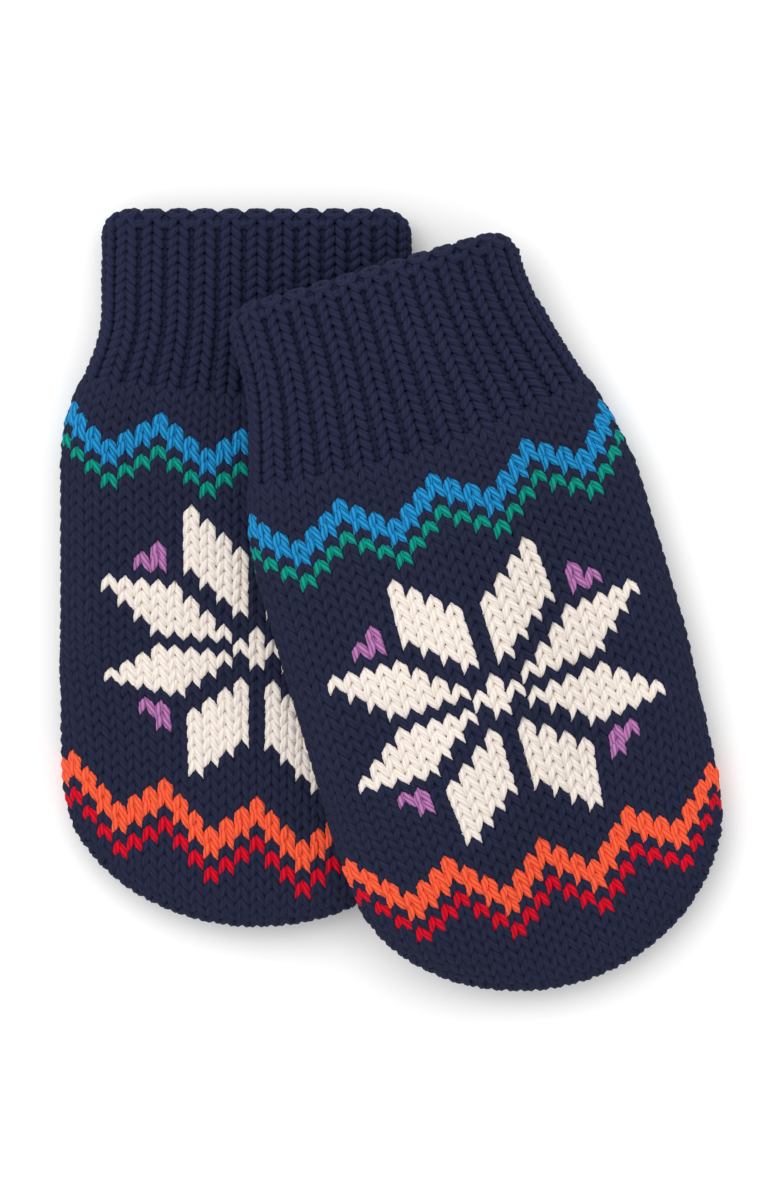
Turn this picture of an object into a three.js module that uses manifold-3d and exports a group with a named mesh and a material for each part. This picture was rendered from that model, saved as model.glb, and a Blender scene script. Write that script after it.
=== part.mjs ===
// A pair of knitted baby mittens lying on a table, the right one laid across the left.
// Each mitten is two flat-knitted panels, front and back, that begin with a ribbed cuff and are
// sewn together round the sides and the tip. Coloured yarns are knitted into the panels: four
// zigzag bands, an eight-petal snowflake and four purple accents. There is no thumb.
// Units are millimetres, +Z is up, +Y points to the cuffs.
import * as THREE from "three";
import { mergeVertices } from "three/addons/utils/BufferGeometryUtils.js";
import Module from "manifold-3d";

const wasm = await Module();
wasm.setup();

// ---------------------------------------------------------------- driving dimensions

const FABRIC = 2.8; // thickness of one knitted layer
const HALF_HEIGHT = 6; // half the thickness of a mitten that lies flat
const RIM = 6.5; // how far in from the outline the rim is rounded
const RIM_ARC = 9.82; // length of fabric in the rounded rim, from the seam to the flat face
const SPARE = RIM_ARC - RIM; // fabric that the rounding takes up
const SEAM_TURN = 0.035; // share of the quarter turn left open for the seam between the panels

const HALF_WALES = 13; // columns of stitches from the middle of a panel to its seam
const WALE = 3.1; // usual width of one column of stitches
const ROW = 2.48; // usual height of one row of stitches
const CROWDED_FROM = 12; // past this many rows towards the cuff, the ribbing crowds the rows
const CROWDED_ROW = 2.1; // height of a crowded row
const BOW = 2.6; // how far the rim end of a middle row climbs towards the cuff
const TOE_NARROWS = [5, -22]; // the hand narrows a little to the tip between these heights

const CUFF_END = 48.6; // where the ribbing ends, above the snowflake's centre
const RIB_DEPTH = 0.9; // how deep the purl columns lie between the ribs
const CUFF_CORNER = 3.4; // how far the cuff's top edge drops at its rounded corners

const JOIN_GAP = 0.3; // space between pieces that touch on the real mitten
const POCKET_MARGIN = 0.7; // space round a coloured yarn in the panel, wider where the rim twists it
const INLAY_DEPTH = 1.2; // depth of the coloured yarns in the face of a panel
const BACK_RECESS = 0.15; // the back's coloured yarns lie this far in, clear of the table
const POCKET_RISE = 1.5; // a pocket's cutter stands this far out of the panel
const BAND_END = 12.4; // column at which a coloured band meets the side seam
const SEAM_WIDTH = 1.8; // overlocked seam allowance inside the rim
const SEAM_HEIGHT = 1.6;
const SEAM_INSET = 3.6; // from the outline to the seam allowance
const DRAPE_FALL = 32; // width over which the right mitten sags from the left one to the table

// Hand-sewn mittens are never quite even. Each outline is measured from its snowflake's centre: to
// the cuff's top, to the tip, and across to either side, at the cuff, the hand and the toe. The
// cuff widens to the hand between two distances from its top. bow is what each row past the
// fourth adds to BOW, towards the cuff and towards the tip. tilt is how far a row climbs for each
// column to the left, which changes between two rows. narrows is the share by which the columns
// draw together, between two heights.
const LEFT = {
  name: "left",
  cuffTop: 84,
  tip: -52.3,
  tipDepth: 30.4,
  leftSide: { cuff: 29.7, hand: 37.3, toe: 37.3, widens: [20, 46] },
  rightSide: { cuff: 29.4, hand: 37.1, toe: 37.1, widens: [20, 46] },
  bow: { cuff: -0.054, tip: 0.15 },
  tilt: { cuff: 0.13, tip: 0.43, between: [-2, 6] },
  narrows: { by: 0.07, between: [5, -25] },
  at: [0, 0],
  turn: 0,
  draped: false,
};
const RIGHT = {
  name: "right",
  cuffTop: 84.6,
  tip: -56.5,
  tipDepth: 33,
  leftSide: { cuff: 28.9, hand: 36.9, toe: 36.9, widens: [12, 50] },
  rightSide: { cuff: 28.1, hand: 38.2, toe: 36.6, widens: [6, 52] },
  bow: { cuff: 0.062, tip: 0.35 },
  tilt: { cuff: -0.085, tip: 0.065, between: [3, 12] },
  narrows: { by: 0.05, between: [-10, -45] },
  at: [45.2, -8.7],
  turn: THREE.MathUtils.degToRad(16.5),
  draped: true,
};

// ---------------------------------------------------------------- yarns

function yarn(colour, roughness = 0.9) {
  return new THREE.MeshStandardMaterial({ color: colour, roughness, metalness: 0 });
}

const YARN = {
  navy: yarn(0x20223f),
  ribNavy: yarn(0x24264a),
  thread: yarn(0x16182c, 0.8),
  blue: yarn(0x2f8fd0),
  green: yarn(0x06906e),
  orange: yarn(0xfa5a34),
  red: yarn(0xd80f2a),
  cream: yarn(0xeee6da),
  purple: yarn(0xa46ba4),
};

// ---------------------------------------------------------------- shape of a mitten

const { smoothstep, lerp } = THREE.MathUtils;

// Height of the rounded tip's centre. Below it the outline is half an ellipse.
const tipCentre = (mitten) => mitten.tip + mitten.tipDepth;

const sideAt = (mitten, x) => (x < 0 ? mitten.leftSide : mitten.rightSide);

// Distance from the spine to the outline, on the side of x.
function halfWidth(mitten, x, y) {
  const { cuff, hand, toe, widens } = sideAt(mitten, x);
  const widened = lerp(cuff, hand, smoothstep(mitten.cuffTop - y, ...widens));
  const [start, end] = TOE_NARROWS;
  return widened + (toe - hand) * smoothstep(-y, -start, -end);
}

// Where a point lies between the mitten's spine and its outline: how far out it is, in which
// direction, and how far out the outline is there. Past the tip's centre the directions fan out.
function spread(mitten, x, y) {
  const below = Math.min(0, y - tipCentre(mitten));
  const reach = Math.hypot(x, below);
  const ux = reach > 1e-9 ? x / reach : 1;
  const uy = reach > 1e-9 ? below / reach : 0;
  const edge =
    below < 0
      ? 1 / Math.hypot(ux / sideAt(mitten, x).toe, uy / mitten.tipDepth)
      : halfWidth(mitten, x, y);
  return { reach, ux, uy, edge };
}

// How far a point of the pair lies outside the left mitten's outline.
function outsideLeft(x, y) {
  const { reach, edge } = spread(LEFT, x, y);
  return reach - edge;
}

// Height that a mitten's underside is lifted to: the right one lies on the left one, and sags
// past its edge to the table.
function drape(mitten, x, y) {
  if (!mitten.draped) return 0;
  const cos = Math.cos(mitten.turn);
  const sin = Math.sin(mitten.turn);
  const pairX = mitten.at[0] + x * cos - y * sin;
  const pairY = mitten.at[1] + x * sin + y * cos;
  const fallen = smoothstep(outsideLeft(pairX, pairY), 0, DRAPE_FALL);
  return (2 * HALF_HEIGHT + JOIN_GAP) * (1 - fallen);
}

function settle(mitten, x, y, z) {
  return new THREE.Vector3(x, y, HALF_HEIGHT + z + drape(mitten, x, y));
}

// A point of the flat panel, rolled round the rim: face is +1 for the front and -1 for the back,
// and depth is measured in from the fabric's outer surface.
function skin(mitten, face, x, y, depth) {
  const { reach, ux, uy, edge } = spread(mitten, x, y);
  const share = (edge + SPARE - reach) / RIM_ARC;
  const turn = (Math.PI / 2) * Math.min(1, Math.max(SEAM_TURN, share));
  const out = share < 1 ? edge - RIM + (RIM - depth) * Math.cos(turn) : reach;
  const onTip = uy < 0;
  return settle(
    mitten,
    ux * out,
    onTip ? tipCentre(mitten) + uy * out : y,
    face * (HALF_HEIGHT - depth) * Math.sin(turn),
  );
}

// ---------------------------------------------------------------- stitches

// Rows count from the snowflake's centre, positive towards the tip.
function rowHeight(row) {
  const crowded = Math.max(0, -row - CROWDED_FROM);
  return -row * ROW - crowded * (ROW - CROWDED_ROW);
}

// The flat panel's point for a column and a row, either of which may be a fraction.
function stitchPoint(mitten, column, row) {
  const { bow, tilt, narrows } = mitten;
  const climb = BOW + bow.tip * Math.max(0, row - 4) + bow.cuff * Math.max(0, -4 - row);
  const slope = lerp(tilt.cuff, tilt.tip, smoothstep(row, ...tilt.between));
  const y = rowHeight(row) + climb * (column / 12) ** 2 - slope * column;
  const [start, end] = narrows.between;
  const narrowing = 1 - narrows.by * smoothstep(-y, -start, -end);
  const wale = ((halfWidth(mitten, column, y) + SPARE) / HALF_WALES) * narrowing;
  return [column * wale, y];
}

// ---------------------------------------------------------------- solids from grids

// A closed solid between two sheets of points. openEnd leaves out the last side wall, for a
// sheet whose last line of points is folded onto itself.
function gridSolid(across, along, outer, inner, openEnd = false) {
  const points = [];
  const faces = [];
  const stride = along + 1;
  const sheet = (across + 1) * stride;
  for (const surface of [outer, inner]) {
    for (let i = 0; i <= across; i++) {
      for (let j = 0; j <= along; j++) points.push(surface(i, j));
    }
  }
  const quad = (a, b, c, d) => faces.push([a, b, c], [a, c, d]);
  const index = (i, j, layer) => layer * sheet + i * stride + j;
  for (let i = 0; i < across; i++) {
    for (let j = 0; j < along; j++) {
      quad(index(i, j, 0), index(i + 1, j, 0), index(i + 1, j + 1, 0), index(i, j + 1, 0));
      quad(index(i, j, 1), index(i, j + 1, 1), index(i + 1, j + 1, 1), index(i + 1, j, 1));
    }
    quad(index(i, 0, 0), index(i, 0, 1), index(i + 1, 0, 1), index(i + 1, 0, 0));
    if (openEnd) continue;
    quad(index(i, along, 0), index(i + 1, along, 0), index(i + 1, along, 1), index(i, along, 1));
  }
  for (let j = 0; j < along; j++) {
    quad(index(0, j, 0), index(0, j + 1, 0), index(0, j + 1, 1), index(0, j, 1));
    quad(index(across, j, 0), index(across, j, 1), index(across, j + 1, 1), index(across, j + 1, 0));
  }
  return closedGeometry(points, faces);
}

// Merges shared points, drops collapsed triangles and turns the faces outwards.
function closedGeometry(points, faces) {
  const loose = new THREE.BufferGeometry().setFromPoints(faces.flat().map((i) => points[i]));
  const merged = mergeVertices(loose, 1e-3);
  const index = [];
  for (let i = 0; i < merged.index.count; i += 3) {
    const [a, b, c] = merged.index.array.subarray(i, i + 3);
    if (a !== b && b !== c && c !== a) index.push(a, b, c);
  }
  const place = (i) => new THREE.Vector3().fromBufferAttribute(merged.attributes.position, i);
  let volume = 0;
  for (let i = 0; i < index.length; i += 3) {
    volume += place(index[i]).dot(place(index[i + 1]).cross(place(index[i + 2])));
  }
  merged.setIndex(volume < 0 ? index.reverse() : index);
  return merged;
}

function toManifold(geometry) {
  const vertProperties = new Float32Array(geometry.attributes.position.array);
  const triVerts = new Uint32Array(geometry.index.array);
  return new wasm.Manifold(new wasm.Mesh({ numProp: 3, vertProperties, triVerts }));
}

function fromManifold(body) {
  const { vertProperties, triVerts } = body.getMesh();
  return new THREE.BufferGeometry()
    .setAttribute("position", new THREE.BufferAttribute(vertProperties, 3))
    .setIndex(new THREE.BufferAttribute(triVerts, 1));
}

function piece(name, geometry, material) {
  const mesh = new THREE.Mesh(geometry, material);
  mesh.name = name;
  return mesh;
}

// ---------------------------------------------------------------- knitted panels

// Points along the hand's outline: down one side, round the tip and up the other side.
function handOutline(mitten) {
  const sideSteps = mitten.draped ? 8 : 6;
  const tipSteps = 12;
  const top = CUFF_END - JOIN_GAP / 2;
  const side = [];
  for (let i = 0; i < sideSteps; i++) {
    side.push(lerp(top, tipCentre(mitten), i / sideSteps));
  }
  const left = side.map((y) => ({ ux: -1, uy: 0, y }));
  const right = side.map((y) => ({ ux: 1, uy: 0, y })).reverse();
  const tip = [];
  for (let i = 0; i <= tipSteps; i++) {
    const angle = Math.PI * (1 + i / tipSteps);
    tip.push({ ux: Math.cos(angle), uy: Math.sin(angle), y: tipCentre(mitten) });
  }
  return [...left, ...tip, ...right];
}

// The hand's panel runs in rings from its outline to its spine.
function handPanel(mitten, face) {
  const outline = handOutline(mitten);
  const rimSteps = 4;
  const flatSteps = mitten.draped ? 6 : 2;
  const at = (depth) => (i, j) => {
    const { ux, uy, y } = outline[i];
    const { edge } = spread(mitten, ux, uy < -1e-9 ? y + uy : y);
    const start = edge + SPARE;
    const rimEnd = start - RIM_ARC;
    const reach =
      j <= rimSteps
        ? lerp(start, rimEnd, j / rimSteps)
        : lerp(rimEnd, 0, (j - rimSteps) / flatSteps);
    return skin(mitten, face, ux * reach, y + uy * reach, depth);
  };
  return gridSolid(outline.length - 1, rimSteps + flatSteps, at(0), at(FABRIC), true);
}

// One rib is a knit column standing proud and a purl column lying back.
function cuffPanel(mitten, face) {
  const rows = mitten.draped ? 6 : 4;
  const bottom = CUFF_END + JOIN_GAP / 2;
  const at = (depth) => (i, j) => {
    const column = i - HALF_WALES;
    const corner = smoothstep(Math.abs(column), HALF_WALES - 3, HALF_WALES);
    const y = lerp(bottom, mitten.cuffTop - CUFF_CORNER * corner, j / rows);
    const x = (column / HALF_WALES) * (halfWidth(mitten, column, y) + SPARE);
    const groove = depth === 0 && column % 2 !== 0 ? RIB_DEPTH : 0;
    return skin(mitten, face, x, y, depth + groove);
  };
  return gridSolid(2 * HALF_WALES, rows, at(0), at(FABRIC));
}

// The overlocked seam allowance runs inside the rim, down one side, round the tip and back up.
function sideSeam(mitten) {
  const cuffSteps = 4;
  const cuffSide = [];
  for (let i = 0; i < cuffSteps; i++) {
    cuffSide.push(lerp(mitten.cuffTop - 2 * CUFF_CORNER, CUFF_END, i / cuffSteps));
  }
  const path = [
    ...cuffSide.map((y) => ({ ux: -1, uy: 0, y })),
    ...handOutline(mitten),
    ...cuffSide.map((y) => ({ ux: 1, uy: 0, y })).reverse(),
  ];
  const at = (z) => (i, j) => {
    const { ux, uy, y } = path[i];
    const { edge } = spread(mitten, ux, uy < -1e-9 ? y + uy : y);
    const out = edge - SEAM_INSET - j * SEAM_WIDTH;
    return settle(mitten, ux * out, y + uy * out, z);
  };
  return gridSolid(path.length - 1, 1, at(SEAM_HEIGHT / 2), at(-SEAM_HEIGHT / 2));
}

// ---------------------------------------------------------------- coloured yarns

// Rows by which a zigzag falls from its peak: 0, 1, 2, 3, 2, 1 over six columns.
const zigzag = (column) => 3 - Math.abs(3 - (Math.abs(column) % 6));

// Columns at which a zigzag band gets points: its turns, the points midway, and its two ends.
function bandColumns() {
  const half = [];
  for (let column = 1.5; column <= 12; column += 1.5) half.push(column);
  half.push(BAND_END);
  return [...half.map((column) => -column).reverse(), 0, ...half];
}

// A band of some rows that follows the zigzag. The margin widens it all round, for its pocket.
function bandSolid(mitten, face, firstRow, rows, depths, margin) {
  const columns = bandColumns();
  const at = (depth) => (i, j) => {
    const isEnd = i === 0 || i === columns.length - 1;
    const column = columns[i] + (isEnd ? (Math.sign(columns[i]) * margin) / (2 * WALE) : 0);
    const side = j === 0 ? -margin / ROW : rows + margin / ROW;
    const row = firstRow - 0.5 + zigzag(column) + side;
    const [x, y] = stitchPoint(mitten, column, row);
    return skin(mitten, face, x, y, depth);
  };
  return gridSolid(columns.length - 1, 1, at(depths[0]), at(depths[1]));
}

// The corners of a convex patch, with every side moved out by a margin in millimetres.
function grown(corners, margin) {
  const places = corners.map(([column, row]) => new THREE.Vector2(column * WALE, row * ROW));
  return places.map((corner, i) => {
    const arriving = corner.clone().sub(places[(i + 3) % 4]).normalize();
    const leaving = places[(i + 1) % 4].clone().sub(corner).normalize();
    const out = arriving.clone().sub(leaving).multiplyScalar(margin / Math.abs(arriving.cross(leaving)));
    const moved = corner.clone().add(out);
    return [moved.x / WALE, moved.y / ROW];
  });
}

// A four-sided patch of stitches. Its corners are [column, row] pairs.
function patchSolid(mitten, face, corners, depths, margin) {
  const [across, along] = mitten.draped ? [3, 4] : [1, 1];
  const [a, b, c, d] = grown(corners, margin);
  const at = (depth) => (i, j) => {
    const [column, row] = [0, 1].map((axis) => {
      const near = lerp(a[axis], b[axis], i / across);
      const far = lerp(d[axis], c[axis], i / across);
      return lerp(near, far, j / along);
    });
    const [x, y] = stitchPoint(mitten, column, row);
    return skin(mitten, face, x, y, depth);
  };
  return gridSolid(across, along, at(depths[0]), at(depths[1]));
}

const BANDS = [
  { name: "blue_zigzag", firstRow: -18, rows: 2, colour: "blue" },
  { name: "green_zigzag", firstRow: -15, rows: 1, colour: "green" },
  { name: "orange_zigzag", firstRow: 12, rows: 2, colour: "orange" },
  { name: "red_zigzag", firstRow: 15, rows: 1, colour: "red" },
];

// Petals are leaning blocks of stitches, four beside the middle line and four above and below.
function snowflakePatches() {
  const patches = [];
  const upright = [[0.55, 2.1], [4.45, 6.0], [4.45, 10.9], [0.55, 7.0]];
  const level = [[1.1, 0.55], [5.9, 0.55], [9.8, 4.45], [5.0, 4.45]];
  const accent = [[5.6, 5.6], [7.4, 5.6], [6.6, 7.4], [5.6, 7.4]];
  const quarters = [[1, -1], [1, 1], [-1, 1], [-1, -1]];
  quarters.forEach(([side, end], n) => {
    const place = (corners) => corners.map(([column, row]) => [side * column, end * row]);
    patches.push({ name: `snowflake_petal_${2 * n + 1}`, corners: place(upright), colour: "cream" });
    patches.push({ name: `snowflake_petal_${2 * n + 2}`, corners: place(level), colour: "cream" });
    patches.push({ name: `purple_accent_${n + 1}`, corners: place(accent), colour: "purple" });
  });
  const centre = [[0, -1.1], [1.1, 0], [0, 1.1], [-1.1, 0]];
  patches.push({ name: "snowflake_centre", corners: centre, colour: "cream" });
  return patches;
}

// Every coloured piece of one face: its name, its yarn and a function that makes its solid.
function colourwork(mitten, face) {
  const side = face > 0 ? "front" : "back";
  const bands = BANDS.map((band) => ({
    name: `${mitten.name}_${band.name}_${side}`,
    colour: band.colour,
    make: (depths, margin) => bandSolid(mitten, face, band.firstRow, band.rows, depths, margin),
  }));
  if (face < 0) return bands;
  const patches = snowflakePatches().map((patch) => ({
    name: `${mitten.name}_${patch.name}`,
    colour: patch.colour,
    make: (depths, margin) => patchSolid(mitten, face, patch.corners, depths, margin),
  }));
  return [...bands, ...patches];
}

// ---------------------------------------------------------------- assembly

// One hand panel with a pocket for each coloured yarn, and the yarns in their pockets.
function handWithColourwork(mitten, face) {
  const side = face > 0 ? "front" : "back";
  const inlays = colourwork(mitten, face);
  const pocket = [-POCKET_RISE, INLAY_DEPTH + JOIN_GAP];
  let panel = toManifold(handPanel(mitten, face));
  for (const inlay of inlays) {
    panel = panel.subtract(toManifold(inlay.make(pocket, POCKET_MARGIN)));
  }
  const recess = face > 0 ? 0 : BACK_RECESS;
  return [
    piece(`${mitten.name}_hand_${side}`, fromManifold(panel), YARN.navy),
    ...inlays.map(({ name, make, colour }) =>
      piece(name, make([recess, INLAY_DEPTH], 0), YARN[colour]),
    ),
  ];
}

function buildMitten(mitten) {
  const group = new THREE.Group();
  group.add(
    piece(`${mitten.name}_cuff_front`, cuffPanel(mitten, 1), YARN.ribNavy),
    piece(`${mitten.name}_cuff_back`, cuffPanel(mitten, -1), YARN.ribNavy),
    piece(`${mitten.name}_side_seam`, sideSeam(mitten), YARN.thread),
    ...handWithColourwork(mitten, 1),
    ...handWithColourwork(mitten, -1),
  );
  group.position.set(mitten.at[0], mitten.at[1], 0);
  group.rotation.z = mitten.turn;
  return group;
}

// The pair stands on its lowest point, with the middle of its outer box over the origin.
const pair = new THREE.Group();
pair.add(buildMitten(LEFT), buildMitten(RIGHT));
const middle = new THREE.Box3().setFromObject(pair, true).getCenter(new THREE.Vector3());
pair.position.set(-middle.x, -middle.y, 0);

export default pair;
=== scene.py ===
# %% [markdown]
# # A pair of thumbless knitted mittens
# Each mitten is two flat knitted panels, sewn together round the sides and the tip.
# The fabric is stockinette with a snowflake and zigzag bands knitted into it, and the
# cuff is a one-by-one rib. Knitting can be faked with a bump pattern on a smooth shell,
# but then its outline stays smooth and its loops look painted. Here every row is a real
# yarn. Python lays one guide line a row over the mitten, and a geometry node tree bends
# that line into loops and sweeps a round yarn along it.

# %% Load the frame
import math
from dataclasses import dataclass

import bmesh
import bpy
import numpy as np
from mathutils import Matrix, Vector


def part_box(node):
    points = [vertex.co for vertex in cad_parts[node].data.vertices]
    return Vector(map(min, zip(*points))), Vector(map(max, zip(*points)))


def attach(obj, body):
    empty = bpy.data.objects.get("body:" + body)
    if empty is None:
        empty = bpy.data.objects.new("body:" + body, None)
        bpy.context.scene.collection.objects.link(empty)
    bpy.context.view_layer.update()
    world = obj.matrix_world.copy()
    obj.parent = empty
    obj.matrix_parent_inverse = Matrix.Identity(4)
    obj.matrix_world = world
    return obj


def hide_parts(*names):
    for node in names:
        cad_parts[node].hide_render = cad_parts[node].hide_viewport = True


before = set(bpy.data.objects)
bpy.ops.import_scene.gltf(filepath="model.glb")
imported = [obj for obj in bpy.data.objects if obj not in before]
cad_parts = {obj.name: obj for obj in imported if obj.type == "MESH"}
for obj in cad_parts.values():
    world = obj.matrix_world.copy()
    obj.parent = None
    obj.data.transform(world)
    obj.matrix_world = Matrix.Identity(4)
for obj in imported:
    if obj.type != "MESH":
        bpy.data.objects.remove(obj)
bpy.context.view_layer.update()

# %% [markdown]
# ## The sizes that drive everything
# A knitter thinks in stitches and rows, so the fabric has its own coordinates: a column
# counts stitches from the middle of the panel and a row counts rows from the middle of
# the snowflake, downwards to the tip. Lengths in this file are millimetres until the
# last moment, when a mesh is made in metres.

# %% Driving sizes
MM = 0.001
HALF_HEIGHT = 6.0        # half the thickness of a mitten lying flat
RIM = 6.5                # radius of the rolled side edge
RIM_ARC = 9.82           # length of fabric in that quarter turn
SPARE = RIM_ARC - RIM    # fabric that the roll uses beyond the flat outline
SEAM_TURN = 0.035        # share of the turn that stops short of the seam
HALF_WALES = 13          # columns from the middle to the side seam
WALE = 3.1               # usual width of a column of stitches
ROW = 2.48               # row height in the snowflake
CROWDED_ROW = 2.1        # row height near the cuff
CROWDED_FROM = 12        # rows above the middle where the crowding starts
BOW = 2.6                # how far a row's ends rise towards the cuff
BOW_COLUMN = 12          # column where that rise is measured
EVEN_ROWS = 4            # rows on either side of the middle that share one bow
LAST_BODY_ROW = -20      # the row next to the rib
RIB_ROWS = 19
TOE_NARROWS = (-5, 22)   # distances below the middle between which the hand narrows to the toe
DRAPE_FALL = 32.0        # how far the upper mitten takes to come down to the table
CORNER_RADIUS = 4.6      # of the cuff's rounded corners
CORNER_TURN = 0.98       # share of the radius over which a corner is rounded
LAYER_GAP = 0.3          # air between the two mittens
FULLNESS = 0.7           # how far the soft side edge bulges past the outline
print("stitch gauge:", round(100 / WALE), "columns and", round(100 / ROW), "rows in 10 cm")


# %% [markdown]
# ## The two mittens
# The left one lies flat. The right one is turned and lies partly on top of it, so its
# fabric climbs over the lower mitten and comes back down to the table. Each one's place
# comes from its snowflake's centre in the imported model. Hand-sewn mittens are never quite
# even, so either side has its own widths, and the rows bow and tilt a little differently.

# %% The two mittens
@dataclass
class Side:
    """Half widths of one side at cuff, hand and toe, and where the cuff widens to the hand."""

    cuff: float
    hand: float
    toe: float
    widens: tuple
    swell: float = 0.0  # share by which the snowflake widens the columns, most at the middle


@dataclass
class Mitten:
    """One mitten's outline, in millimetres from the middle of its snowflake."""

    name: str
    cuff_top: float
    tip: float
    tip_depth: float
    left_side: Side
    right_side: Side
    bow: tuple        # what each row adds to BOW, towards the cuff and towards the tip
    tilt: tuple       # how far a row climbs for each column to the left, in the cuff and at the tip
    tilts: tuple      # rows between which the tilt changes
    narrows: float    # share by which the columns draw together
    narrowing: tuple  # distances below the middle between which they do
    turn: float = 0.0
    draped: bool = False

    @property
    def body(self):
        return f"{self.name}_mitten"

    @property
    def tip_centre(self):
        return self.tip + self.tip_depth

    @property
    def centre(self):
        low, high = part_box(f"{self.name}_snowflake_centre")
        return np.array([low.x + high.x, low.y + high.y]) / 2 / MM


LEFT = Mitten(
    "left", 84.0, -52.3, 30.4,
    Side(29.7, 37.3, 37.3, (20, 46)), Side(29.4, 37.1, 37.1, (20, 46)),
    bow=(-0.054, 0.15), tilt=(0.13, 0.43), tilts=(-2, 6), narrows=0.07, narrowing=(-5, 25),
)
RIGHT = Mitten(
    "right", 84.6, -56.5, 33.0,
    Side(28.9, 36.9, 36.9, (12, 50), 0.04), Side(28.1, 38.2, 36.6, (6, 52), 0.11),
    bow=(0.062, 0.4), tilt=(-0.085, 0.1), tilts=(3, 12), narrows=0.06, narrowing=(5, 40),
    turn=16.5, draped=True,
)
MITTENS = (LEFT, RIGHT)
for mitten in MITTENS:
    print(mitten.name, "snowflake at", mitten.centre.round(2), "mm")


# %% [markdown]
# ## From flat knitting to the mitten's surface
# `skin` takes a point of the flat panel and wraps it on the mitten: flat in the middle,
# then a quarter turn down to the seam, and past the seam it tucks inside, as a sewn
# edge does. `depth` is how far below the outer surface the point lies. A cuff sewn from
# rib has soft corners, so `corner_inset` rounds the outline where it meets the cuff's top.

# %% Wrap the fabric on the mitten
def smoothstep(x, low, high):
    t = np.clip((x - low) / (high - low), 0, 1)
    return t * t * (3 - 2 * t)


def corner_inset(m, y):
    """How much the rounded corners take off each side of the cuff at a height."""
    into = np.clip(y - m.cuff_top + CORNER_RADIUS, 0, CORNER_TURN * CORNER_RADIUS)
    return CORNER_RADIUS - np.sqrt(CORNER_RADIUS**2 - into**2)


def half_width(m, x, y):
    """From the spine to the outline, on the side of x, before the corners are rounded."""
    left, right = (
        side.cuff + (side.hand - side.cuff) * smoothstep(m.cuff_top - y, *side.widens)
        + (side.toe - side.hand) * smoothstep(-y, *TOE_NARROWS)
        for side in (m.left_side, m.right_side)
    )
    return np.where(x < 0, left, right)


def spread(m, x, y):
    """How far a point lies from the spine, in which direction, and where the edge is."""
    below = np.minimum(0, y - m.tip_centre)
    reach = np.maximum(np.hypot(x, below), 1e-9)
    ux, uy = x / reach, below / reach
    toe = np.where(x < 0, m.left_side.toe, m.right_side.toe)
    tip_edge = 1 / np.maximum(np.hypot(ux / toe, uy / m.tip_depth), 1e-9)
    side_edge = half_width(m, x, y) - corner_inset(m, y)
    return reach, ux, uy, np.where(below < 0, tip_edge, side_edge)


def to_shared_frame(m, x, y):
    """From a mitten's own axes to the shared frame, still in millimetres."""
    c, s = math.cos(math.radians(m.turn)), math.sin(math.radians(m.turn))
    cx, cy = m.centre
    return cx + x * c - y * s, cy + x * s + y * c


def drape(m, x, y):
    """How much the upper mitten is lifted where it lies on the lower one."""
    if not m.draped:
        return np.zeros_like(x)
    px, py = to_shared_frame(m, x, y)
    lx, ly = px - LEFT.centre[0], py - LEFT.centre[1]
    reach, _, _, edge = spread(LEFT, lx, ly)
    fallen = smoothstep(reach - edge, 0, DRAPE_FALL)
    return (2 * HALF_HEIGHT + LAYER_GAP) * (1 - fallen)


def skin(m, face, x, y, depth):
    """The point of the mitten that a flat point of the panel covers, in metres."""
    reach, ux, uy, edge = spread(m, x, y)
    share = (edge + SPARE - reach) / RIM_ARC
    depth = depth + np.maximum(0, SEAM_TURN - share) * RIM_ARC
    turn = math.pi / 2 * np.clip(share, SEAM_TURN, 1)
    rolled = edge - RIM + (RIM + FULLNESS - depth) * np.cos(turn)
    out = np.where(share < 1, rolled, reach)
    fx = ux * out
    fy = np.where(uy < 0, m.tip_centre + uy * out, y)
    fz = HALF_HEIGHT + face * (HALF_HEIGHT - depth) * np.sin(turn) + drape(m, fx, fy)
    px, py = to_shared_frame(m, fx, fy)
    return np.stack([px, py, fz], axis=-1) * MM


for m in MITTENS:
    width = half_width(m, -1.0, 0.0) + half_width(m, 1.0, 0.0)
    print(m.name, "hand is", round(float(width), 1), "mm wide")


# %% [markdown]
# ## Where each stitch lies
# In the hand the columns run down to the tip and draw together a little on the way, and
# the snowflake's second yarn swells them. In the cuff every other column is a knit one
# that stands out and every other a purl one that hides between its neighbours. The
# cuff's edge rolls over to the inside, and its rib ends make the scalloped top.

# %% Stitch coordinates
CUFF_WALES = 14          # the cuff shows one more column, which the seam swallows lower down
CUFF_WALE = 2.5          # width of one of its columns
RIB_SWELL = 0.25         # how much wider than a purl column a knit one is
RIB_GROOVE = 1.7         # how deep a purl column lies
EDGE_ROLL = 1.3          # radius of the cuff's rolled edge
EDGE_CREST = 1.4         # from the roll's centre line to the edge's outline
SCALLOP = 0.55           # height of one rib's bump on the cuff's edge
SCALLOPED_FROM = 0.85    # share of the way up the cuff where the bumps start
SWELL_FADES = (4, 14)    # rows from the middle between which the swelling fades
CORNER_SINKS = 2.4       # how far the cuff's edge sinks at its corners
EDGE_SPARE = 0.8         # share of the spare fabric left at the cuff's edge


def row_height(row):
    """Height of a row above the snowflake's middle, in the hand."""
    return -row * ROW - np.maximum(0, -row - CROWDED_FROM) * (ROW - CROWDED_ROW)


def up_the_cuff(row):
    """0 in the hand, then rising to 1 at the cuff's edge."""
    return np.clip((LAST_BODY_ROW - row - 0.5) / RIB_ROWS, 0, None)


def corner_drop(column):
    """How far a rounded corner lies below the cuff's top, as it is seen from above."""
    turn = math.pi / 2 * np.clip((HALF_WALES - np.abs(column)) * CUFF_WALE / RIM_ARC, 0, 1)
    into = np.maximum(0, CORNER_SINKS - RIM * (1 - np.cos(turn)))
    return CORNER_SINKS - np.sqrt(CORNER_SINKS**2 - into**2)


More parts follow.
